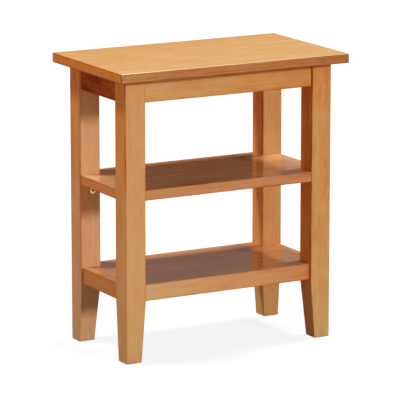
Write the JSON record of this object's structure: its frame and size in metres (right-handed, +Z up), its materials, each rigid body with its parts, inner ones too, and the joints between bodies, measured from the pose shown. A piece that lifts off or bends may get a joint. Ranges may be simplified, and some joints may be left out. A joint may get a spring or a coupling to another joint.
{
  "type": "side table",
  "caption": "Small rectangular side table in solid wood, with an overhanging top, tapered square legs, a notched middle shelf and a railed lower shelf.",
  "frame": {"origin": "on the floor, under the middle of the table", "axes": "+X along the table's length to the right, +Y to the rear, +Z up"},
  "size_m": [0.526, 0.305, 0.6],
  "materials": {
    "oak": "satin",
    "batten_wood": "matte",
    "dowel_wood": "matte",
    "bracket_brass": "satin",
    "screw_brass": "satin",
    "screw_steel": "satin"
  },
  "bodies": {
    "root": {"table_top": "oak", "front_left_leg": "oak", "front_right_leg": "oak", "rear_right_leg": "oak", "rear_left_leg": "oak", "front_apron": "oak", "rear_apron": "oak", "left_apron": "oak", "right_apron": "oak", "middle_shelf": "oak", "lower_front_rail": "oak", "lower_rear_rail": "oak", "lower_left_rail": "oak", "lower_right_rail": "oak", "lower_shelf_panel": "oak", "front_top_cleat": "batten_wood", "rear_top_cleat": "batten_wood", "front_shelf_cleat": "batten_wood", "rear_shelf_cleat": "batten_wood", "front_left_bracket": "bracket_brass", "front_right_bracket": "bracket_brass", "rear_right_bracket": "bracket_brass", "rear_left_bracket": "bracket_brass", "apron_dowels": "dowel_wood", "lower_rail_dowels": "dowel_wood", "top_screws": "screw_steel", "apron_screws": "screw_steel", "panel_screws": "screw_steel", "rail_screws": "screw_steel", "bracket_leg_screws": "screw_brass", "bracket_shelf_screws": "screw_brass"}
  },
  "joints": []
}
